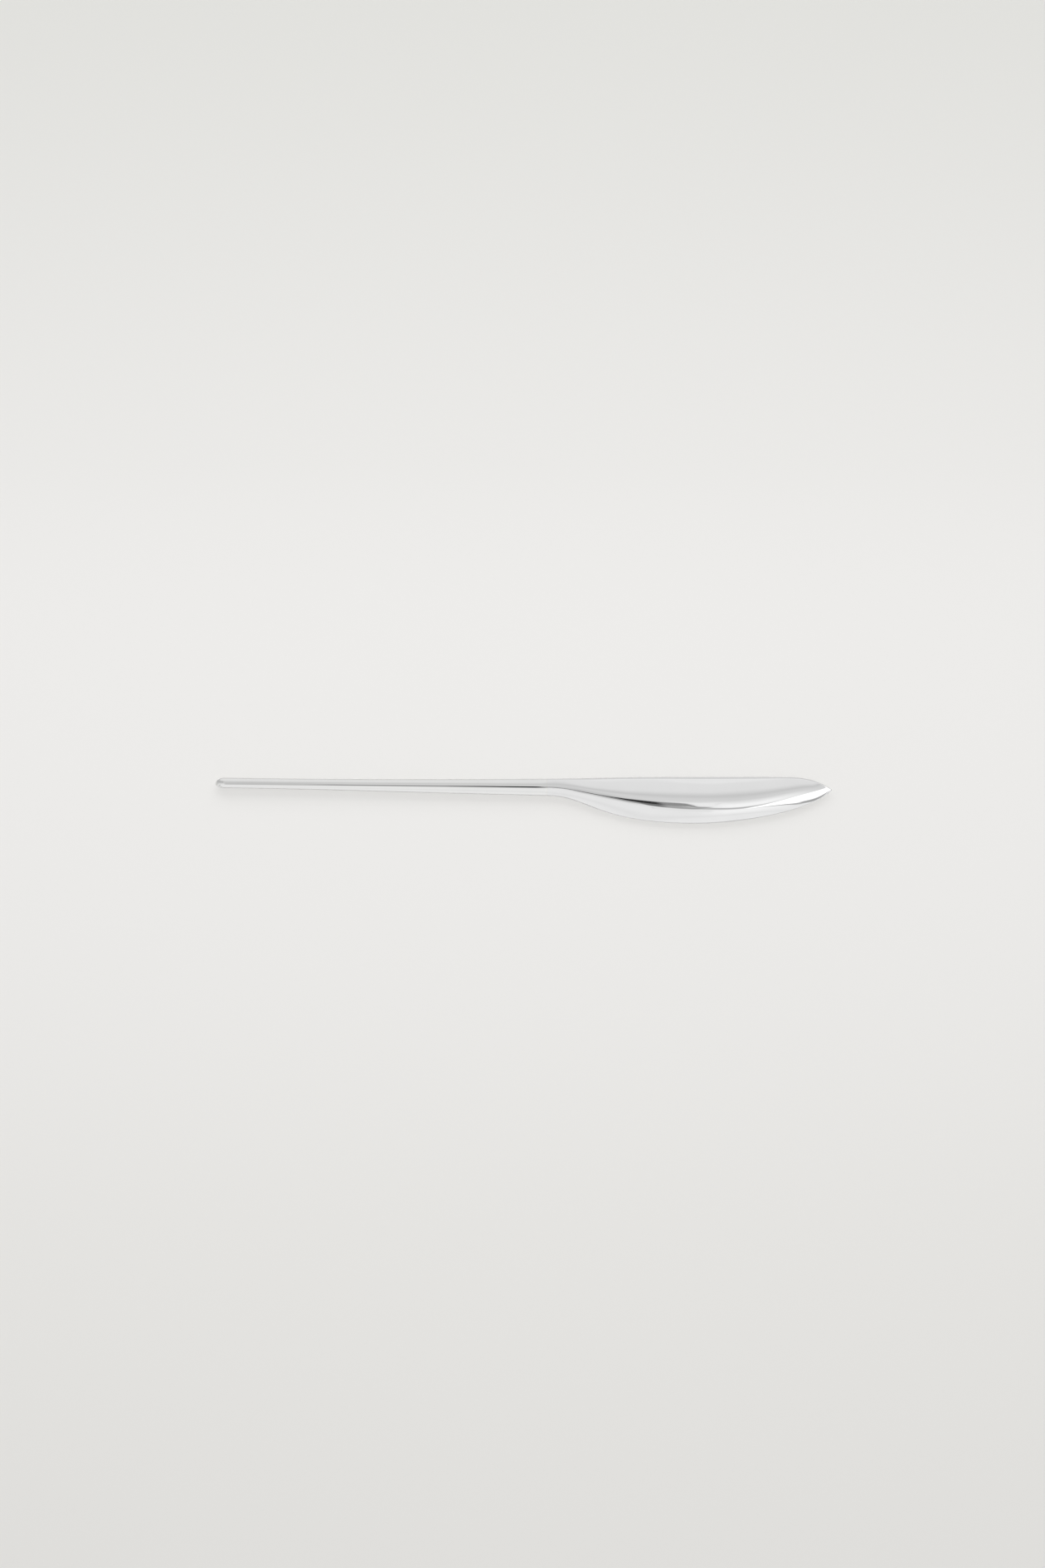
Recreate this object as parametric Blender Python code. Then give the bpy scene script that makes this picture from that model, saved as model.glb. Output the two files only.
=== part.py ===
"""Table knife in polished stainless steel, lying on its side.

A leaf shaped forged blade carries a short tang. The tang sits in a blind socket in the front end of a
slim solid handle, and braze metal fills the gap around it. The joint is polished flush. One soft crest
runs along each face from the butt to the tip: a broad face falls gently from it to the spine, and a
narrower one falls steeply to the cutting edge.

Metres, +Z up. +X runs from the butt to the tip and +Y from the cutting edge to the spine. The origin is
under the middle of the knife, on the surface that it lies on.
"""

import bmesh
import bpy
import numpy as np

MM = 0.001

# Lengths along the knife, from the joint at the neck
HANDLE_LENGTH = 118.4 * MM
BLADE_LENGTH = 101.6 * MM
SPINE_LEVEL_AT = 41.5 * MM
BELLY_AT = 53.3 * MM
CROWN_AT = 53.3 * MM
CREST_LOWEST_AT = 64.0 * MM
TIP_DROP_LENGTH = 24.6 * MM
BUTT_ROUND = 3.2 * MM

# Widths of the outline, about the handle's axis at the neck
NECK_WIDTH = 6.07 * MM
BUTT_WIDTH = 3.7 * MM
BUTT_RISE = 1.62 * MM
BUTT_CREST_RISE = 1.15 * MM
WAIST_DIP = 0.24 * MM
SPINE_HEIGHT = 3.62 * MM
BELLY_DEPTH = 12.96 * MM
CREST_DEPTH = 7.45 * MM
TIP_DEPTH = 1.07 * MM
TIP_WIDTH = 0.4 * MM

# Thicknesses from face to face, and the depth of the flat that the knife lies on
STOCK_THICKNESS = 4.0 * MM
TIP_THICKNESS = 0.8 * MM
EDGE_THICKNESS = 0.3 * MM
REST_FLAT = 0.05 * MM

# Faces of the handle: how steeply they fall from the crest to the spine side, the share of half the stock that
# the edge side loses over each length away from the crest, and how far in the long corners are rounded
SPINE_SIDE_FALL = 0.133
EDGE_SIDE_LOSS = 0.165 / MM
CORNER_ROUND = 0.3 * MM

# Stretch of the blade over which its cutting edge is thinned, and length of the point, where the spine comes
# back up to the full thickness
EDGE_THINNING_FROM = 12.0 * MM
EDGE_THINNING_TO = 42.0 * MM
POINT_LENGTH = 7.0 * MM

# How softly the crest turns over, from 0 for a sharp ridge, and the stretch of the blade over which it softens
GRIP_SOFTNESS = 0.4
BLADE_SOFTNESS = 0.75
SOFTENING_FROM = 25.0 * MM
SOFTENING_TO = 70.0 * MM

# Joint between the blade and the handle
TANG_LENGTH = 18.0 * MM
TANG_WIDTH = 3.2 * MM
TANG_THICKNESS = 1.8 * MM
TANG_CHAMFER = 0.4 * MM
BRAZE_GAP = 0.2 * MM
BRAZE_CLEARANCE = 0.02 * MM

# Handles of the curves, as shares of the run and the rise of the curve that they shape
BACK_PULLS = ((0.3, 0.1), (0.7, 1.0))
DROP_PULLS = ((0.53, 0.0), (0.71, -0.06))
GRIP_PULLS = ((0.34, 0.16), (0.67, 0.7))
FLARE_PULLS = ((0.27, 0.0), (0.32, 1.0))
BELLY_PULLS = ((0.3, 0.0), (0.81, 0.31))
CREST_DOWN_PULLS = ((0.2, 0.0), (0.48, 1.0))
CREST_UP_PULLS = ((0.4, 0.0), (0.8, 1.1))
TAPER_PULLS = ((0.35, 0.0), (0.75, 0.375))
SPINE_THINNING_PULLS = ((0.14, -0.1), (0.16, 1.26))
WAIST_AT = (0.3, 0.7)

# Fineness of the faceted surface
RING_POINTS = 48
CURVE_POINTS = 200
BUTT_RINGS = 8
GRIP_RINGS = 26
FLARE_RINGS = 18
LEAF_RINGS = 10
POINT_RINGS = 15
POINT_CROWDING = 1.3
SMOOTH_BELOW = np.radians(40.0)

TURN = np.arange(RING_POINTS) * 2.0 * np.pi / RING_POINTS
ACROSS = np.round(np.cos(TURN), 9)
THROUGH = np.round(np.sin(TURN), 9)


def bezier(start, first, second, end):
    """Points on one cubic curve, as rows of x and y."""
    t = np.linspace(0.0, 1.0, CURVE_POINTS)[:, None]
    weights = ((1 - t) ** 3, 3 * (1 - t) ** 2 * t, 3 * (1 - t) * t**2, t**3)
    return sum(w * np.array(p) for w, p in zip(weights, (start, first, second, end)))


def pulled(start, end, pulls):
    """A cubic curve whose handles are given as shares of its run and rise."""
    first, second = np.add(start, np.multiply(np.subtract(end, start), pulls))
    return bezier(start, first, second, end)


def height_along(*curves):
    """A function of x that follows curves laid end to end."""
    line = np.concatenate(curves)
    return lambda x: np.interp(x, line[:, 0], line[:, 1])


def ease(x, start, end):
    """A smooth step from 0 at start to 1 at end."""
    share = np.clip((x - start) / (end - start), 0.0, 1.0)
    return share * share * (3.0 - 2.0 * share)


def spine_line():
    """Upper outline: a nearly straight back that drops to the point only near the tip."""
    butt = (-HANDLE_LENGTH, BUTT_RISE + BUTT_WIDTH / 2)
    neck = (0.0, NECK_WIDTH / 2)
    level = (SPINE_LEVEL_AT, SPINE_HEIGHT)
    drop = (BLADE_LENGTH - TIP_DROP_LENGTH, SPINE_HEIGHT)
    tip = (BLADE_LENGTH, TIP_WIDTH / 2 - TIP_DEPTH)
    waist = [((share - 1.0) * HANDLE_LENGTH, neck[1] - WAIST_DIP) for share in WAIST_AT]
    return height_along(
        bezier(butt, *waist, neck), pulled(neck, level, BACK_PULLS), pulled(drop, tip, DROP_PULLS)
    )


def edge_line():
    """Lower outline: taper of the handle, flare at the neck, round belly and rise to the point."""
    butt = (-HANDLE_LENGTH, BUTT_RISE - BUTT_WIDTH / 2)
    neck = (0.0, -NECK_WIDTH / 2)
    belly = (BELLY_AT, -BELLY_DEPTH)
    tip = (BLADE_LENGTH, -TIP_WIDTH / 2 - TIP_DEPTH)
    return height_along(
        pulled(butt, neck, GRIP_PULLS), pulled(neck, belly, FLARE_PULLS), pulled(belly, tip, BELLY_PULLS)
    )


def half_thickness():
    """Half the stock along the handle and up to the crown, then a long taper to the tip."""
    butt = (-HANDLE_LENGTH, STOCK_THICKNESS / 2)
    crown = (CROWN_AT, STOCK_THICKNESS / 2)
    tip = (BLADE_LENGTH, TIP_THICKNESS / 2)
    return height_along(np.array([butt]), pulled(crown, tip, TAPER_PULLS))


def half_spine():
    """Half the thickness of the blade along its spine: thinned fast past the neck, then held to the point."""
    neck = (0.0, (STOCK_THICKNESS - SPINE_SIDE_FALL * NECK_WIDTH) / 2)
    tip = (BLADE_LENGTH, TIP_THICKNESS / 2)
    return height_along(pulled(neck, tip, SPINE_THINNING_PULLS))


def crest_line():
    """Crest of the two faces: straight along the handle, low on the blade, then up to the point."""
    butt = (-HANDLE_LENGTH, BUTT_CREST_RISE)
    neck = (0.0, 0.0)
    lowest = (CREST_LOWEST_AT, -CREST_DEPTH)
    tip = (BLADE_LENGTH, -TIP_DEPTH)
    return height_along(
        np.array([butt]),
        pulled(neck, lowest, CREST_DOWN_PULLS),
        pulled(lowest, tip, CREST_UP_PULLS),
    )


SPINE = spine_line()
EDGE = edge_line()
CREST = crest_line()
HALF_THICKNESS = half_thickness()
HALF_SPINE = half_spine()


def rim_thickness(x, reach):
    """Half thickness around the ring at x, whose crest lies reach from the rim of each point's own side."""
    half = HALF_THICKNESS(x)
    thinning = ease(x, EDGE_THINNING_FROM, EDGE_THINNING_TO)
    spine_land = HALF_SPINE(x) if x > 0.0 else half - SPINE_SIDE_FALL * reach
    spine_land = spine_land + (half - spine_land) * ease(x, BLADE_LENGTH - POINT_LENGTH, BLADE_LENGTH)
    edge_land = half * (1.0 - EDGE_SIDE_LOSS * reach)
    edge_land = edge_land + (EDGE_THICKNESS / 2 - edge_land) * thinning
    land = np.where(ACROSS > 0, spine_land, edge_land)
    softness = GRIP_SOFTNESS + (BLADE_SOFTNESS - GRIP_SOFTNESS) * ease(x, SOFTENING_FROM, SOFTENING_TO)
    fall = np.hypot(ACROSS, softness) - softness
    corner = np.minimum(np.minimum(CORNER_ROUND, land) / reach, 1.0)
    into_corner = np.clip((np.abs(ACROSS) - 1.0 + corner) / corner, 0.0, 1.0)
    return (half - (half - land) * fall / fall.max()) * np.sqrt(1.0 - into_corner**2)


def body_ring(x, shrink=1.0):
    """One outer ring of the knife at x, with its lowest points on the flat that the knife lies on."""
    top, crest, bottom = SPINE(x), CREST(x), EDGE(x)
    reach = np.where(ACROSS > 0, top - crest, crest - bottom)
    rim = rim_thickness(x, reach)
    y = crest + ACROSS * reach * shrink
    z = np.maximum(rim * np.sign(THROUGH) * shrink, REST_FLAT - STOCK_THICKNESS / 2)
    return np.column_stack((np.full(RING_POINTS, x), y, z))


def tang_ring(x, grow=0.0, scale=1.0):
    """A ring of the tang's rounded rectangle, grown outwards for the braze or the socket."""
    y = scale * (TANG_WIDTH / 2 + grow) * np.sign(ACROSS) * np.sqrt(np.abs(ACROSS))
    z = scale * (TANG_THICKNESS / 2 + grow) * np.sign(THROUGH) * np.sqrt(np.abs(THROUGH))
    return np.column_stack((np.full(RING_POINTS, x), y, z))


def metal(name, colour, roughness):
    """A plain metal finish."""
    material = bpy.data.materials.new(name)
    material.use_nodes = True
    shader = material.node_tree.nodes["Principled BSDF"]
    shader.inputs["Base Color"].default_value = (*colour, 1.0)
    shader.inputs["Metallic"].default_value = 1.0
    shader.inputs["Roughness"].default_value = roughness
    return material


def loft(name, rings, material, knife):
    """One closed solid through rings of equal count, capped at both ends."""
    bm = bmesh.new()
    loops = [[bm.verts.new(point) for point in ring] for ring in rings]
    for near, far in zip(loops, loops[1:]):
        for i in range(RING_POINTS):
            bm.faces.new((near[i - 1], near[i], far[i], far[i - 1]))
    bm.faces.new(loops[0])
    bm.faces.new(loops[-1])
    bmesh.ops.recalc_face_normals(bm, faces=bm.faces)
    mesh = bpy.data.meshes.new(name)
    bm.to_mesh(mesh)
    bm.free()
    mesh.shade_smooth()
    mesh.set_sharp_from_angle(angle=SMOOTH_BELOW)
    mesh.materials.append(material)
    piece = bpy.data.objects.new(name, mesh)
    piece.parent = knife
    bpy.context.scene.collection.objects.link(piece)


def blade(knife):
    """Hardened blade forging: chamfered tang, square shoulder at the neck, crowned leaf."""
    tang = [
        tang_ring(-TANG_LENGTH, scale=1.0 - 2.0 * TANG_CHAMFER / TANG_THICKNESS),
        tang_ring(-TANG_LENGTH + TANG_CHAMFER),
        tang_ring(0.0),
    ]
    drop = BLADE_LENGTH - TIP_DROP_LENGTH
    flare = np.linspace(0.0, EDGE_THINNING_TO, FLARE_RINGS)
    leaf = np.linspace(EDGE_THINNING_TO, drop, LEAF_RINGS)[1:]
    point = BLADE_LENGTH - TIP_DROP_LENGTH * np.linspace(1.0, 0.0, POINT_RINGS)[1:] ** POINT_CROWDING
    leaf_rings = [body_ring(x) for x in (*flare, *leaf, *point)]
    loft("blade", tang + leaf_rings, metal("polished blade steel", (0.62, 0.62, 0.61), 0.08), knife)


def handle(knife):
    """Solid handle: round butt, long slim taper and a blind socket for the tang."""
    front = -BRAZE_GAP
    round_end = BUTT_ROUND - HANDLE_LENGTH
    sweep = np.linspace(0.0, np.pi / 2, BUTT_RINGS + 1)[1:]
    butt = [body_ring(round_end - BUTT_ROUND * np.cos(a), np.sin(a)) for a in sweep]
    butt[0][:, 0] = -HANDLE_LENGTH
    grip = [body_ring(x) for x in np.linspace(round_end, front, GRIP_RINGS)[1:]]
    socket = [tang_ring(x, grow=BRAZE_GAP) for x in (front, -TANG_LENGTH - BRAZE_GAP)]
    loft("handle", butt + grip + socket, metal("polished handle steel", (0.64, 0.64, 0.63), 0.08), knife)


def braze_fill(knife):
    """Braze metal: a sleeve and end cap around the tang, and the thin washer under the shoulder."""
    outer = BRAZE_GAP - BRAZE_CLEARANCE
    inner = BRAZE_CLEARANCE
    rings = [
        tang_ring(-TANG_LENGTH - outer, grow=outer),
        tang_ring(-outer, grow=outer),
        body_ring(-outer),
        body_ring(-inner),
        tang_ring(-inner, grow=inner),
        tang_ring(-TANG_LENGTH - inner, grow=inner),
    ]
    loft("braze_fill", rings, metal("silver braze", (0.72, 0.70, 0.62), 0.25), knife)


def knife_at_rest():
    """The empty that carries the pieces, with the middle of the outline over the origin."""
    length = np.linspace(-HANDLE_LENGTH, BLADE_LENGTH, CURVE_POINTS)
    middle = (SPINE(length).max() + EDGE(length).min()) / 2
    knife = bpy.data.objects.new("knife", None)
    knife.location = ((HANDLE_LENGTH - BLADE_LENGTH) / 2, -middle, STOCK_THICKNESS / 2 - REST_FLAT)
    bpy.context.scene.collection.objects.link(knife)
    return knife


for old in list(bpy.data.objects):
    bpy.data.objects.remove(old)

knife = knife_at_rest()
blade(knife)
handle(knife)
braze_fill(knife)
bpy.context.view_layer.update()
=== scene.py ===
import bmesh
import bpy
import numpy as np
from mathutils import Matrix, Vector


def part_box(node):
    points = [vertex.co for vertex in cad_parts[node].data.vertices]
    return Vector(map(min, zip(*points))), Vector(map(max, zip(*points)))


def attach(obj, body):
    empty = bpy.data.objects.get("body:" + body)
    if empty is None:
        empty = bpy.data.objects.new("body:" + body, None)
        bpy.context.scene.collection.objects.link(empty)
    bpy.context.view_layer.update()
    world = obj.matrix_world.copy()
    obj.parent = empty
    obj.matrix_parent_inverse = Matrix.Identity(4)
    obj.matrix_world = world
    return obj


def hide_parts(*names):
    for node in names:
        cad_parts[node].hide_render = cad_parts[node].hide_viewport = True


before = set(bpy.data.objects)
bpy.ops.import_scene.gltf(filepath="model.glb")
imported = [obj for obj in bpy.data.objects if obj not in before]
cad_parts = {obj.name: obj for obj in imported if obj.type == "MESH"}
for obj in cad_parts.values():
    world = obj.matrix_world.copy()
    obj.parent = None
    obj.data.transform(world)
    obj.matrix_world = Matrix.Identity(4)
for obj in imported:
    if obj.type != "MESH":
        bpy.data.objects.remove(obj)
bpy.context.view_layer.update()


# Blade. One forging of hardenable stainless steel: a crowned leaf, a square shoulder at the neck and a
# chamfered tang behind the shoulder. It is ground on a wheel and mirror polished, and the tang is brazed
# into the handle.
MM = 0.001

# Along the knife: its lengths, and places measured from the neck.
HANDLE_LENGTH = 118.4 * MM
BLADE_LENGTH = 101.6 * MM
SPINE_LEVEL_AT = 41.5 * MM
BELLY_AT = 53.3 * MM
CROWN_AT = 53.3 * MM
CREST_LOWEST_AT = 64.0 * MM
TIP_DROP_LENGTH = 24.6 * MM

# Across it, from the middle of the neck: plus is towards the spine, and a depth is towards the edge.
NECK_WIDTH = 6.07 * MM
BUTT_WIDTH = 3.7 * MM
BUTT_RISE = 1.62 * MM
BUTT_CREST_RISE = 1.15 * MM
WAIST_DIP = 0.24 * MM
WAIST_AT = (0.3, 0.7)
SPINE_HEIGHT = 3.62 * MM
BELLY_DEPTH = 12.96 * MM
CREST_DEPTH = 7.45 * MM
TIP_DEPTH = 1.07 * MM
TIP_WIDTH = 0.4 * MM

# Through it.
STOCK_THICKNESS = 4.0 * MM
TIP_THICKNESS = 0.8 * MM
EDGE_THICKNESS = 0.3 * MM

# The faces: how steeply they fall from the crest, how round their long corners are, where the edge side thins
# to the cutting edge, and how soft the crest is on the handle and on the blade.
SPINE_SIDE_FALL = 0.133
EDGE_SIDE_FALL = 0.33
SPINE_ROUND = 0.3 * MM
EDGE_ROUND = 0.1 * MM
EDGE_THINNING_FROM = 12.0 * MM
EDGE_THINNING_TO = 42.0 * MM
POINT_LENGTH = 7.0 * MM
GRIP_SOFTNESS = 0.4
BLADE_SOFTNESS = 0.75
SOFTENING_FROM = 25.0 * MM
SOFTENING_TO = 70.0 * MM

# Where the handle runs into the blade a crisp crease lies along the crest, on a rounder body.
CREASE_SOFTNESS = 0.1
CREASE_BODY = 0.9
CREASE_SHARE = 0.58
CREASE_RISE = (-3.0 * MM, 1.0 * MM)
CREASE_FADE = (6.0 * MM, 14.0 * MM)

TANG_LENGTH = 18.0 * MM
TANG_WIDTH = 3.2 * MM
TANG_THICKNESS = 1.8 * MM
TANG_CHAMFER = 0.4 * MM

# How finely the pieces are drawn.
RING_POINTS = 64
CURVE_POINTS = 400
FLARE_RINGS = 20
LEAF_RINGS = 12
POINT_RINGS = 15
NECK_CROWDING = 1.5
POINT_CROWDING = 1.3
SMOOTHING_LEVELS = 2
SMOOTH_BELOW = np.radians(35.0)
CUT_ACCURACY = 0.0001 * MM

# Round a ring: how far across a point lies, from -1 at the edge to 1 at the spine, and which face it is on.
TURN = np.arange(RING_POINTS) * 2.0 * np.pi / RING_POINTS
TANG_ACROSS = np.round(np.cos(TURN), 9)
THROUGH = np.round(np.sin(TURN), 9)
ACROSS = TANG_ACROSS * np.abs(TANG_ACROSS)

blade_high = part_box("blade")[1]
NECK = np.array(
    (blade_high[0] - BLADE_LENGTH, blade_high[1] - SPINE_HEIGHT, blade_high[2] - STOCK_THICKNESS / 2)
)


def bezier(start, first, second, end):
    """Points on one cubic curve, as rows of x and y."""
    t = np.linspace(0.0, 1.0, CURVE_POINTS)[:, None]
    weights = ((1 - t) ** 3, 3 * (1 - t) ** 2 * t, 3 * (1 - t) * t**2, t**3)
    return sum(w * np.array(p) for w, p in zip(weights, (start, first, second, end)))


def pulled(start, end, *pulls):
    """A cubic curve whose handles are given as shares of its run and rise."""
    first, second = np.add(start, np.multiply(np.subtract(end, start), pulls))
    return bezier(start, first, second, end)


def height_along(*curves):
    """A function of x that follows curves laid end to end."""
    line = np.concatenate(curves)
    return lambda x: np.interp(x, line[:, 0], line[:, 1])


def ease(x, start, end):
    """A smooth step from 0 at start to 1 at end."""
    share = np.clip((x - start) / (end - start), 0.0, 1.0)
    return share * share * (3.0 - 2.0 * share)


butt_top = (-HANDLE_LENGTH, BUTT_RISE + BUTT_WIDTH / 2)
butt_bottom = (-HANDLE_LENGTH, BUTT_RISE - BUTT_WIDTH / 2)
neck_top = (0.0, NECK_WIDTH / 2)
neck_bottom = (0.0, -NECK_WIDTH / 2)
spine_level = (SPINE_LEVEL_AT, SPINE_HEIGHT)
spine_drop = (BLADE_LENGTH - TIP_DROP_LENGTH, SPINE_HEIGHT)
belly = (BELLY_AT, -BELLY_DEPTH)
crest_lowest = (CREST_LOWEST_AT, -CREST_DEPTH)
waist = [((share - 1.0) * HANDLE_LENGTH, neck_top[1] - WAIST_DIP) for share in WAIST_AT]

spine_at = height_along(
    bezier(butt_top, *waist, neck_top),
    pulled(neck_top, spine_level, (0.3, 0.1), (0.7, 1.0)),
    pulled(spine_drop, (BLADE_LENGTH, TIP_WIDTH / 2 - TIP_DEPTH), (0.53, 0.0), (0.71, -0.06)),
)
edge_at = height_along(
    pulled(butt_bottom, neck_bottom, (0.34, 0.16), (0.67, 0.7)),
    pulled(neck_bottom, belly, (0.27, 0.0), (0.32, 1.0)),
    pulled(belly, (BLADE_LENGTH, -TIP_WIDTH / 2 - TIP_DEPTH), (0.3, 0.0), (0.81, 0.31)),
)
crest_at = height_along(
    np.array([(-HANDLE_LENGTH, BUTT_CREST_RISE)]),
    pulled((0.0, 0.0), crest_lowest, (0.2, 0.0), (0.48, 1.0)),
    pulled(crest_lowest, (BLADE_LENGTH, -TIP_DEPTH), (0.4, 0.0), (0.8, 1.1)),
)
half_thickness_at = height_along(
    np.array([(-HANDLE_LENGTH, STOCK_THICKNESS / 2)]),
    pulled((CROWN_AT, STOCK_THICKNESS / 2), (BLADE_LENGTH, TIP_THICKNESS / 2), (0.35, 0.0), (0.75, 0.375)),
)
neck_land = (0.0, (STOCK_THICKNESS - SPINE_SIDE_FALL * NECK_WIDTH) / 2)
tip_land = (BLADE_LENGTH, TIP_THICKNESS / 2)
half_spine_at = height_along(pulled(neck_land, tip_land, (0.14, -0.1), (0.16, 1.26)))


def fall_from_crest(softness):
    """How far the face has fallen at each point of a ring, from 0 at the crest to 1 at the rim."""
    return (np.hypot(ACROSS, softness) - softness) / (np.hypot(1.0, softness) - softness)


def body_ring(x, shrink=1.0):
    """The polished section at x: a gentle face to the spine, a steep one to the edge, and between them a soft
    crest, which is crisper where the handle runs into the blade."""
    crest = crest_at(x)
    half = half_thickness_at(x)
    reach = np.where(ACROSS > 0, spine_at(x) - crest, crest - edge_at(x))
    thinning = ease(x, EDGE_THINNING_FROM, EDGE_THINNING_TO)
    spine_land = half_spine_at(x) if x > 0.0 else half - SPINE_SIDE_FALL * reach
    spine_land = spine_land + (half - spine_land) * ease(x, BLADE_LENGTH - POINT_LENGTH, BLADE_LENGTH)
    edge_land = half - EDGE_SIDE_FALL * reach
    edge_land = edge_land + (EDGE_THICKNESS / 2 - edge_land) * thinning
    land = np.where(ACROSS > 0, spine_land, edge_land)
    softness = GRIP_SOFTNESS + (BLADE_SOFTNESS - GRIP_SOFTNESS) * ease(x, SOFTENING_FROM, SOFTENING_TO)
    crease = ease(x, *CREASE_RISE) * (1.0 - ease(x, *CREASE_FADE))
    soft_fall = fall_from_crest(softness + (CREASE_BODY - softness) * crease)
    fall = soft_fall + (fall_from_crest(CREASE_SOFTNESS) - soft_fall) * CREASE_SHARE * crease
    rounding = np.where(ACROSS > 0, SPINE_ROUND, EDGE_ROUND)
    corner = np.minimum(np.minimum(rounding, land) / reach, 1.0)
    into_corner = np.clip((np.abs(ACROSS) - 1.0 + corner) / corner, 0.0, 1.0)
    rim = (half - (half - land) * fall) * np.sqrt(1.0 - into_corner**2)
    y = crest + ACROSS * reach * shrink
    z = rim * np.sign(THROUGH) * shrink
    return NECK + np.column_stack((np.full(RING_POINTS, x), y, z))


def tang_ring(x, grow=0.0, scale=1.0):
    """A ring of the tang's rounded rectangle, grown outwards for the braze or the socket."""
    y = scale * (TANG_WIDTH / 2 + grow) * np.sign(TANG_ACROSS) * np.sqrt(np.abs(TANG_ACROSS))
    z = scale * (TANG_THICKNESS / 2 + grow) * np.sign(THROUGH) * np.sqrt(np.abs(THROUGH))
    return NECK + np.column_stack((np.full(RING_POINTS, x), y, z))


def drawn_out(name, rings, sharp):
    """A solid drawn out of a round disc: its end face is extruded from ring to ring and set to each section.
    The rings at the places in sharp keep their edges, and the rest is smoothed. What lies below the floor is
    cut away, which leaves the narrow flat that the knife rests on."""
    bpy.ops.object.select_all(action="DESELECT")
    bpy.ops.mesh.primitive_circle_add(
        vertices=RING_POINTS,
        radius=np.ptp(rings[0][:, 1]) / 2,
        fill_type="NGON",
        location=rings[0].mean(axis=0),
        rotation=(0.0, np.pi / 2, 0.0),
    )
    piece = bpy.context.object
    piece.name = name
    bpy.ops.object.transform_apply(location=True, rotation=True, scale=True)
    bpy.ops.object.mode_set(mode="EDIT")
    mesh = bmesh.from_edit_mesh(piece.data)
    loops = [list(mesh.faces[:][0].verts)]
    for vertex, place in zip(loops[0], rings[0]):
        vertex.co = place
    for near, far in zip(rings, rings[1:]):
        step = far.mean(axis=0) - near.mean(axis=0)
        bpy.ops.mesh.extrude_region_move(TRANSFORM_OT_translate={"value": step})
        loops.append([
            next(e.other_vert(v) for e in v.link_edges if e.other_vert(v).select) for v in loops[-1]
        ])
        for vertex, place in zip(loops[-1], far):
            vertex.co = place
    bpy.ops.mesh.select_all(action="DESELECT")
    for i in sharp:
        for a, b in zip(loops[i], loops[i][1:] + loops[i][:1]):
            mesh.edges.get((a, b)).select_set(True)
    bpy.ops.transform.edge_crease(value=1.0)
    bpy.ops.mesh.select_all(action="SELECT")
    bpy.ops.mesh.normals_make_consistent(inside=False)
    bpy.ops.object.mode_set(mode="OBJECT")
    smoothing = piece.modifiers.new("smoothing", "SUBSURF")
    smoothing.levels = SMOOTHING_LEVELS
    smoothing.render_levels = SMOOTHING_LEVELS
    bpy.ops.object.modifier_apply(modifier=smoothing.name)
    bpy.ops.object.mode_set(mode="EDIT")
    bpy.ops.mesh.select_all(action="SELECT")
    bpy.ops.mesh.bisect(
        plane_co=(0.0, 0.0, 0.0),
        plane_no=(0.0, 0.0, 1.0),
        use_fill=True,
        clear_inner=True,
        threshold=CUT_ACCURACY,
    )
    bpy.ops.object.mode_set(mode="OBJECT")
    bpy.ops.object.shade_smooth_by_angle(angle=SMOOTH_BELOW)
    return piece


def linear(colour):
    """An sRGB hex colour as linear red, green, blue and alpha."""
    srgb = np.array([int(colour[i:i + 2], 16) for i in (1, 3, 5)]) / 255
    return (*np.where(srgb <= 0.04045, srgb / 12.92, ((srgb + 0.055) / 1.055) ** 2.4), 1.0)


def add_node(tree, kind, settings=None, links=None, stops=()):
    """Adds one node, sets its inputs, properties and ramp stops, and links sockets into it."""
    node = tree.nodes.new(kind)
    for name, value in (settings or {}).items():
        if isinstance(name, int) or name in node.inputs:
            node.inputs[name].default_value = value
        else:
            setattr(node, name, value)
    for name, socket in (links or {}).items():
        tree.links.new(socket, node.inputs[name])
    for i, (place, colour) in enumerate(stops):
        elements = node.color_ramp.elements
        stop = elements[i] if i < len(elements) else elements.new(1.0)
        stop.position = place
        stop.color = colour
    return node


HAZE_SIZE = 9.0 * MM
HAIR_LENGTH = 12.0 * MM
HAIR_WIDTH = 0.3 * MM
HAIR_CONTRAST = (0.3, 0.7)
WAVE_LENGTH = 14.0 * MM
WAVE_STRETCH = 2.5
WAVE_DEPTH = 0.004 * MM


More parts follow.
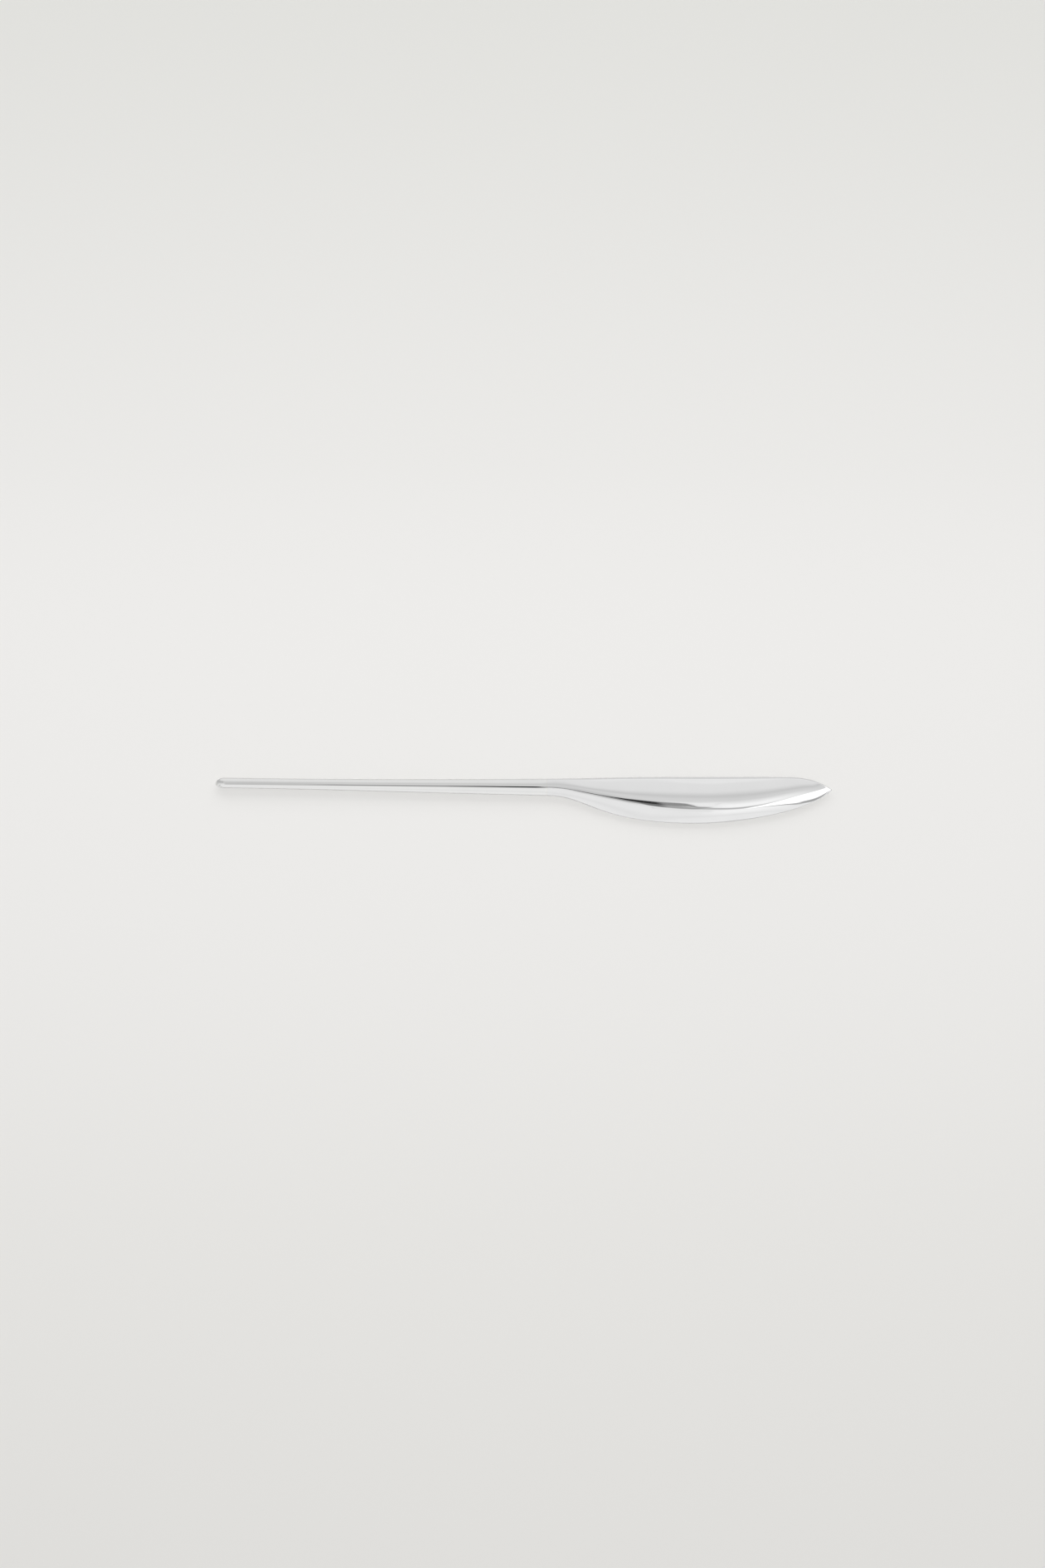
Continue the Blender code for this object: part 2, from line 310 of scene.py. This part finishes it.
def polished_steel(name, bright, dull, roughness):
    """Mirror polished stainless: clear, neutral reflections that waver slightly, as a wheel leaves them, with
    a faint haze in patches and hairlines along the knife."""
    material = bpy.data.materials.new(name)
    material.use_nodes = True
    tree = material.node_tree
    shader = tree.nodes["Principled BSDF"]
    shader.inputs["Metallic"].default_value = 1.0
    place = add_node(tree, "ShaderNodeTexCoord").outputs["Object"]

    # Haze: patches about 9 mm across where the last buffing was lighter.
    haze = add_node(
        tree, "ShaderNodeTexNoise", {"Scale": 1.0 / HAZE_SIZE, "Detail": 3.0}, {"Vector": place}
    )
    tint = add_node(
        tree, "ShaderNodeMix", {"data_type": "RGBA", 6: linear(bright), 7: linear(dull)},
        {0: haze.outputs["Fac"]},
    )
    tree.links.new(tint.outputs[2], shader.inputs["Base Color"])

    # Hairlines: real ones are 0.02 mm wide, drawn here 0.3 mm wide and 12 mm long so that they show.
    along = add_node(
        tree, "ShaderNodeMapping", {"Scale": (1.0 / HAIR_LENGTH, 1.0 / HAIR_WIDTH, 1.0 / HAIR_WIDTH)},
        {"Vector": place},
    )
    hairs = add_node(
        tree, "ShaderNodeTexNoise", {"Scale": 1.0, "Detail": 2.0}, {"Vector": along.outputs["Vector"]}
    )
    low, high = HAIR_CONTRAST
    clear, dim = roughness
    gloss = add_node(
        tree, "ShaderNodeMapRange", {"From Min": low, "From Max": high, "To Min": clear, "To Max": dim},
        {"Value": hairs.outputs["Fac"]},
    )
    tree.links.new(gloss.outputs["Result"], shader.inputs["Roughness"])

    # Waves: what the wheel leaves in the surface, a few thousandths of a millimetre deep.
    stretch = add_node(
        tree, "ShaderNodeMapping", {"Scale": (1.0 / WAVE_LENGTH, WAVE_STRETCH / WAVE_LENGTH, 0.0)},
        {"Vector": place},
    )
    waves = add_node(
        tree, "ShaderNodeTexNoise", {"Scale": 1.0, "Detail": 1.0}, {"Vector": stretch.outputs["Vector"]}
    )
    relief = add_node(
        tree, "ShaderNodeBump", {"Strength": 1.0, "Distance": WAVE_DEPTH}, {"Height": waves.outputs["Fac"]}
    )
    tree.links.new(relief.outputs["Normal"], shader.inputs["Normal"])
    return material


tang = [
    tang_ring(-TANG_LENGTH, scale=1.0 - 2.0 * TANG_CHAMFER / TANG_THICKNESS),
    tang_ring(-TANG_LENGTH + TANG_CHAMFER),
    tang_ring(0.0),
]
flare_stations = EDGE_THINNING_TO * np.linspace(0.0, 1.0, FLARE_RINGS) ** NECK_CROWDING
leaf_stations = np.linspace(EDGE_THINNING_TO, spine_drop[0], LEAF_RINGS)[1:]
point_stations = BLADE_LENGTH - TIP_DROP_LENGTH * np.linspace(1.0, 0.0, POINT_RINGS)[1:] ** POINT_CROWDING
leaf = [body_ring(x) for x in (*flare_stations, *leaf_stations, *point_stations)]
blade = drawn_out("polished_blade", tang + leaf, sharp=(0, 1, 2, 3))
blade.data.materials.append(
    polished_steel("mirror polished blade steel", "#E0E0E0", "#DBDBDB", roughness=(0.012, 0.03))
)
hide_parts("blade")
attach(blade, "root")


# Braze. Silver braze metal that was melted into the gap around the tang and under the shoulder. Only a rim
# 0.2 mm wide shows at the neck, ground and polished flush with the steel on both sides.
BRAZE_GAP = 0.2 * MM

fill = [
    tang_ring(-TANG_LENGTH - BRAZE_GAP, grow=BRAZE_GAP),
    tang_ring(-BRAZE_GAP, grow=BRAZE_GAP),
    body_ring(-BRAZE_GAP),
    body_ring(0.0),
    tang_ring(0.0),
    tang_ring(-TANG_LENGTH),
]
braze = drawn_out("braze_rim", fill, sharp=range(len(fill)))
braze.data.materials.append(
    polished_steel("polished silver braze", "#E0DFDC", "#DBDAD6", roughness=(0.025, 0.05))
)
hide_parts("braze_fill")
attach(braze, "root")


# Handle. A solid bar of softer stainless steel, drawn to a slim taper with a small round butt, crested like
# the blade and mirror polished. A blind socket in its front end takes the tang.
BUTT_ROUND = 3.2 * MM
BUTT_RINGS = 8
GRIP_RINGS = 30

round_end = BUTT_ROUND - HANDLE_LENGTH
sweep = np.linspace(0.0, np.pi / 2, BUTT_RINGS + 1)[1:]
butt = [body_ring(round_end - BUTT_ROUND * np.cos(a), np.sin(a)) for a in sweep]
butt[0][:, 0] = NECK[0] - HANDLE_LENGTH
grip_shares = np.linspace(1.0, 0.0, GRIP_RINGS)[1:] ** NECK_CROWDING
grip_stations = -BRAZE_GAP + (round_end + BRAZE_GAP) * grip_shares
grip_rings = [body_ring(x) for x in grip_stations]
socket = [tang_ring(x, grow=BRAZE_GAP) for x in (-BRAZE_GAP, -TANG_LENGTH - BRAZE_GAP)]
handle = drawn_out("polished_handle", butt + grip_rings + socket, sharp=(-3, -2, -1))
handle.data.materials.append(
    polished_steel("mirror polished handle steel", "#E1E1E0", "#DCDCDB", roughness=(0.012, 0.03))
)
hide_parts("handle")
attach(handle, "root")


# Floor. A wide sheet of matt pale paper that the knife lies on. Its colour carries a painted fall-off of light,
# changing a little from front to back and palest near the knife.
FLOOR_SIZE = 4.0
FLOOR_GAP = 0.01 * MM
PAPER_ROUGHNESS = 0.9
FALLOFF_REACH = 300.0 * MM
# Painted light fall-off: each place from front to back, and the paper colour painted there.
PAPER_TONES_PAINTED_FALLOFF = (
    (-FALLOFF_REACH, "#E5E4E1"), (-150.0 * MM, "#E9E8E5"), (-60.0 * MM, "#EDECEA"), (40.0 * MM, "#EEEDEB"),
    (120.0 * MM, "#ECEBE9"), (FALLOFF_REACH, "#DBDBD7"),
)

bpy.ops.object.select_all(action="DESELECT")
bpy.ops.mesh.primitive_plane_add(size=FLOOR_SIZE, location=(0.0, 0.0, -FLOOR_GAP))
floor = bpy.context.object
floor.name = "floor"
bpy.ops.object.transform_apply(location=True, rotation=True, scale=True)
paper = bpy.data.materials.new("matt pale paper")
paper.use_nodes = True
sheet = paper.node_tree
paper_shader = sheet.nodes["Principled BSDF"]
paper_shader.inputs["Roughness"].default_value = PAPER_ROUGHNESS
paper_shader.inputs["Specular IOR Level"].default_value = 0.0
spot = add_node(sheet, "ShaderNodeTexCoord").outputs["Object"]
on_floor = add_node(sheet, "ShaderNodeSeparateXYZ", links={"Vector": spot})
away = add_node(
    sheet, "ShaderNodeMapRange", {"From Min": -FALLOFF_REACH, "From Max": FALLOFF_REACH},
    {"Value": on_floor.outputs["Y"]},
)
# This ramp paints the light's fall-off into the paper's colour.
painted_falloff_ramp = add_node(
    sheet, "ShaderNodeValToRGB", links={"Fac": away.outputs["Result"]},
    stops=[((y + FALLOFF_REACH) / (2.0 * FALLOFF_REACH), linear(colour)) for y, colour in PAPER_TONES_PAINTED_FALLOFF],
)
painted_falloff_ramp.color_ramp.interpolation = "B_SPLINE"
sheet.links.new(painted_falloff_ramp.outputs["Color"], paper_shader.inputs["Base Color"])

# Far from the knife, out of the lamps' reach, the paper fades into the backdrop for the camera and
# for what the steel shows.
BACKDROP = "#EDECEA"
FADE_FROM = 345.0 * MM
FADE_TO = 700.0 * MM
far = add_node(sheet, "ShaderNodeVectorMath", {"operation": "LENGTH"}, {0: spot})
faded = add_node(
    sheet, "ShaderNodeMapRange", {"From Min": FADE_FROM, "From Max": FADE_TO},
    {"Value": far.outputs["Value"]},
)
seen_by = add_node(sheet, "ShaderNodeLightPath").outputs
seen = add_node(
    sheet, "ShaderNodeMath", {"operation": "ADD", "use_clamp": True},
    {0: seen_by["Is Camera Ray"], 1: seen_by["Is Glossy Ray"]},
)
seen_faded = add_node(
    sheet, "ShaderNodeMath", {"operation": "MULTIPLY"},
    {0: faded.outputs["Result"], 1: seen.outputs["Value"]},
)
glow = add_node(sheet, "ShaderNodeEmission", {"Color": linear(BACKDROP)})
surface = add_node(
    sheet, "ShaderNodeMixShader",
    links={0: seen_faded.outputs["Value"], 1: paper_shader.outputs["BSDF"], 2: glow.outputs["Emission"]},
)
sheet.links.new(surface.outputs["Shader"], sheet.nodes["Material Output"].inputs["Surface"])
floor.data.materials.append(paper)


# Studio. The room as it lies in the polished steel, painted by direction, X to the right and Y to the back:
# pale walls, a grey beam behind, a lit ceiling and a soft box to the right, and the dark camera over the knife.
# A wide window behind the knife throws its shadow.
world = bpy.data.worlds.new("pale studio")
bpy.context.scene.world = world
world.use_nodes = True
room = world.node_tree
toward = add_node(
    room, "ShaderNodeSeparateXYZ",
    links={"Vector": add_node(room, "ShaderNodeTexCoord").outputs["Generated"]},
)
right, back = [
    add_node(
        room, "ShaderNodeMapRange", {"From Min": -1.0, "From Max": 1.0}, {"Value": toward.outputs[axis]}
    ).outputs["Result"]
    for axis in "XY"
]


def grey(level):
    """A neutral colour of one level."""
    return (level, level, level, 1.0)


def ramp_stops(pairs):
    """Stops for a ramp from pairs of a direction's share, -1 to 1, and a level."""
    return [((share + 1.0) / 2.0, grey(level)) for share, level in pairs]


# The walls: how far a direction points back or to the right, from -1 to 1, and the level there.
FRONT_TO_BACK = (
    (-1.0, 1.0), (-0.96, 1.0), (-0.94, 0.5), (-0.9, 0.5), (-0.87, 1.09), (-0.76, 1.09), (-0.73, 1.08),
    (-0.69, 1.01), (-0.63, 1.07), (-0.45, 1.07), (-0.35, 1.04), (-0.25, 0.99), (-0.1, 0.93), (0.0, 0.9),
    (0.12, 0.89), (0.19, 0.86), (0.245, 0.77), (0.285, 0.9), (0.31, 0.98), (0.37, 1.0), (0.381, 1.0),
    (0.389, 1.07), (0.47, 1.05), (0.53, 0.72), (0.6, 0.72), (0.66, 1.05), (0.78, 1.07), (0.82, 0.5),
    (0.87, 0.5), (0.91, 1.0), (1.0, 0.9),
)
SIDE_TO_SIDE = ((-1.0, 0.8), (-0.8, 1.0), (0.5, 1.0), (1.0, 0.6))
walls = [
    add_node(room, "ShaderNodeValToRGB", links={"Fac": axis}, stops=ramp_stops(levels)).outputs["Color"]
    for axis, levels in ((back, FRONT_TO_BACK), (right, SIDE_TO_SIDE))
]
light = add_node(
    room, "ShaderNodeMix", {"data_type": "RGBA", "blend_type": "MULTIPLY", 0: 1.0}, {6: walls[0], 7: walls[1]}
).outputs[2]

# What hangs and stands in the room, laid over the walls in this order: its name, its level, and its span
# across and then from front to back. A span is how far it leans for each step of the other axis, where it
# starts, where it is full, where it is still full and where it ends.
PATCHES = (
    ("lit ceiling", 1.22, (0.0, 0.02, 0.1, 0.25, 0.3), (0.0, -0.72, -0.5, -0.1, 0.08)),
    ("ceiling glow", 1.25, (0.0, 0.052, 0.075, 0.125, 0.2), (0.0, -0.1, 0.0, 0.06, 0.16)),
    ("cable", 0.65, (0.0, 0.03, 0.045, 0.125, 0.175), (0.0, -0.27, -0.2, -0.03, 0.01)),
    ("soft box", 1.6, (0.25, 0.193, 0.205, 0.5, 0.6), (-1.75, -0.035, -0.02, 1.2, 1.5)),
    ("soft box side", 0.5, (0.0, 0.155, 0.22, 0.285, 0.3), (-1.75, -0.06, -0.045, -0.025, -0.012)),
    ("soft box foot", 0.5, (0.0, 0.275, 0.295, 0.5, 0.55), (0.0, -0.57, -0.54, -0.5, -0.465)),
    ("wall", 1.07, (0.0, 0.27, 0.3, 0.6, 0.7), (0.0, -0.9, -0.85, -0.57, -0.55)),
    ("doorway", 0.62, (0.0, -1.05, -1.0, -0.2, -0.12), (0.0, 0.12, 0.17, 0.25, 0.3)),
    ("left back panel", 0.35, (0.0, -1.05, -1.0, -0.42, -0.36), (0.0, 0.55, 0.6, 0.68, 0.73)),
    ("left front panel", 0.35, (0.0, -1.05, -1.0, -0.42, -0.36), (0.0, -0.8, -0.76, -0.7, -0.66)),
    ("left wall shade", 0.75, (0.0, -0.85, -0.75, -0.6, -0.48), (0.0, -0.68, -0.55, -0.5, -0.3)),
    ("right back panel", 0.35, (0.0, 0.4, 0.48, 1.0, 1.05), (0.0, 0.55, 0.6, 0.68, 0.73)),
    ("right door", 0.3, (0.0, 0.5, 0.55, 1.0, 1.05), (0.0, 0.1, 0.15, 0.25, 0.3)),
    ("right front panel", 0.35, (0.0, 0.5, 0.55, 1.0, 1.05), (0.0, -0.72, -0.66, -0.58, -0.52)),
    ("left shade", 0.72, (0.0, -0.14, -0.11, -0.066, -0.05), (0.0, -0.42, -0.32, 0.18, 0.26)),
    ("camera stand", 0.68, (0.0, -0.09, -0.06, 0.02, 0.03), (0.0, -0.4, -0.2, 0.03, 0.07)),
    ("tripod head", 0.74, (0.0, 0.006, 0.014, 0.03, 0.056), (0.0, -0.15, -0.08, 0.13, 0.2)),
    ("camera side", 0.45, (0.0, -0.065, -0.055, -0.02, -0.01), (0.0, -0.2, -0.14, 0.08, 0.12)),
    ("camera grip", 0.25, (0.0, -0.012, -0.005, 0.002, 0.005), (0.0, -0.27, -0.2, -0.1, -0.05)),
    ("camera", 0.03, (0.0, -0.024, -0.012, 0.005, 0.008), (0.0, -0.16, -0.11, 0.06, 0.09)),
    ("bracket", 0.5, (0.1, 0.024, 0.029, 0.066, 0.072), (3.1, -0.4, -0.36, -0.15, -0.135)),
    ("bracket shade", 0.22, (0.1, 0.024, 0.029, 0.039, 0.045), (3.1, -0.4, -0.36, -0.15, -0.135)),
    ("bracket top", 0.36, (0.0, 0.036, 0.042, 0.0548, 0.0562), (3.1, -0.185, -0.16, -0.083, -0.071)),
    ("wall below", 1.04, (0.0, -0.02, -0.012, 0.06, 0.07), (0.0, -0.5, -0.42, -0.315, -0.245)),
    ("glow edge", 1.12, (-0.02, 0.0548, 0.0562, 0.075, 0.09), (0.0, 0.0, 0.03, 0.09, 0.13)),
    ("gap", 0.95, (0.0, 0.0455, 0.0475, 0.0495, 0.0515), (0.0, -0.09, -0.06, -0.01, 0.01)),
    ("camera arm", 0.03, (0.083, 0.016, 0.0235, 0.0412, 0.0432), (3.1, -0.178, -0.15, -0.083, -0.071)),
)
for name, level, *spans in PATCHES:
    masks = []
    for axis, other, (lean, start, full, still_full, end) in zip("XY", "YX", spans):
        leaned = add_node(
            room, "ShaderNodeMath", {"operation": "MULTIPLY_ADD", 1: -lean},
            {0: toward.outputs[other], 2: toward.outputs[axis]},
        )
        within = add_node(
            room, "ShaderNodeMapRange", {"From Min": start, "From Max": end},
            {"Value": leaned.outputs["Value"]},
        )
        masks.append(add_node(
            room, "ShaderNodeValToRGB", links={"Fac": within.outputs["Result"]},
            stops=[
                (0.0, grey(0.0)), ((full - start) / (end - start), grey(1.0)),
                ((still_full - start) / (end - start), grey(1.0)), (1.0, grey(0.0)),
            ],
        ))
    patch = add_node(
        room, "ShaderNodeMath", {"operation": "MULTIPLY"},
        {i: mask.outputs["Color"] for i, mask in enumerate(masks)},
    )
    light = add_node(
        room, "ShaderNodeMix", {"data_type": "RGBA", "label": name, 7: grey(level)},
        {0: patch.outputs["Value"], 6: light},
    ).outputs[2]

# The room is what the steel shows. The camera sees plain paper beyond the floor, and the paper takes most of
# its light from the lamps.
FILL_LEVEL = 0.25
rays = add_node(room, "ShaderNodeLightPath").outputs
off_paper = add_node(
    room, "ShaderNodeMath", {"operation": "SUBTRACT", "use_clamp": True},
    {0: rays["Is Glossy Ray"], 1: rays["Diffuse Depth"]},
)
shown = add_node(
    room, "ShaderNodeMix", {"data_type": "RGBA", 6: grey(FILL_LEVEL)},
    {0: off_paper.outputs["Value"], 7: light},
)
backdrop = add_node(
    room, "ShaderNodeMix", {"data_type": "RGBA", 7: linear(BACKDROP)},
    {0: rays["Is Camera Ray"], 6: shown.outputs[2]},
)
room.links.new(backdrop.outputs[2], room.nodes["Background"].inputs["Color"])
bpy.context.scene.view_settings.view_transform = "Standard"

# Each lamp's name, its place and size in metres, and its power in watts. The steel doesn't show the lamps.
LAMPS = (
    ("overhead", (0.0, 0.05, 2.5), (0.3, 0.2), 38.5),
    ("window", (0.0, 1.15, 0.85), (2.0, 0.9), 5.6),
)
for name, place, size, power in LAMPS:
    lamp_light = bpy.data.lights.new(name, "AREA")
    lamp_light.shape = "RECTANGLE"
    lamp_light.size, lamp_light.size_y = size
    lamp_light.energy = power
    lamp = bpy.data.objects.new(name, lamp_light)
    lamp.location = place
    lamp.rotation_euler = (-np.arctan2(place[1], place[2]), 0.0, 0.0)
    lamp.visible_camera = False
    lamp.visible_glossy = False
    bpy.context.scene.collection.objects.link(lamp)


# Camera. It looks straight down on the middle of the picture, with the knife lying across it. The lens is long
# enough to show the knife with hardly any perspective.
PICTURE_HEIGHT = 559.6 * MM
PICTURE_MIDDLE = (-0.44 * MM, 5.77 * MM)
CAMERA_DISTANCE = 1.2
SENSOR = 36.0

camera_data = bpy.data.cameras.new("camera")
camera_data.sensor_width = SENSOR
camera_data.lens = SENSOR * CAMERA_DISTANCE / PICTURE_HEIGHT
camera = bpy.data.objects.new("camera", camera_data)
camera.location = (*PICTURE_MIDDLE, CAMERA_DISTANCE + NECK[2])
bpy.context.scene.collection.objects.link(camera)
bpy.context.scene.camera = camera
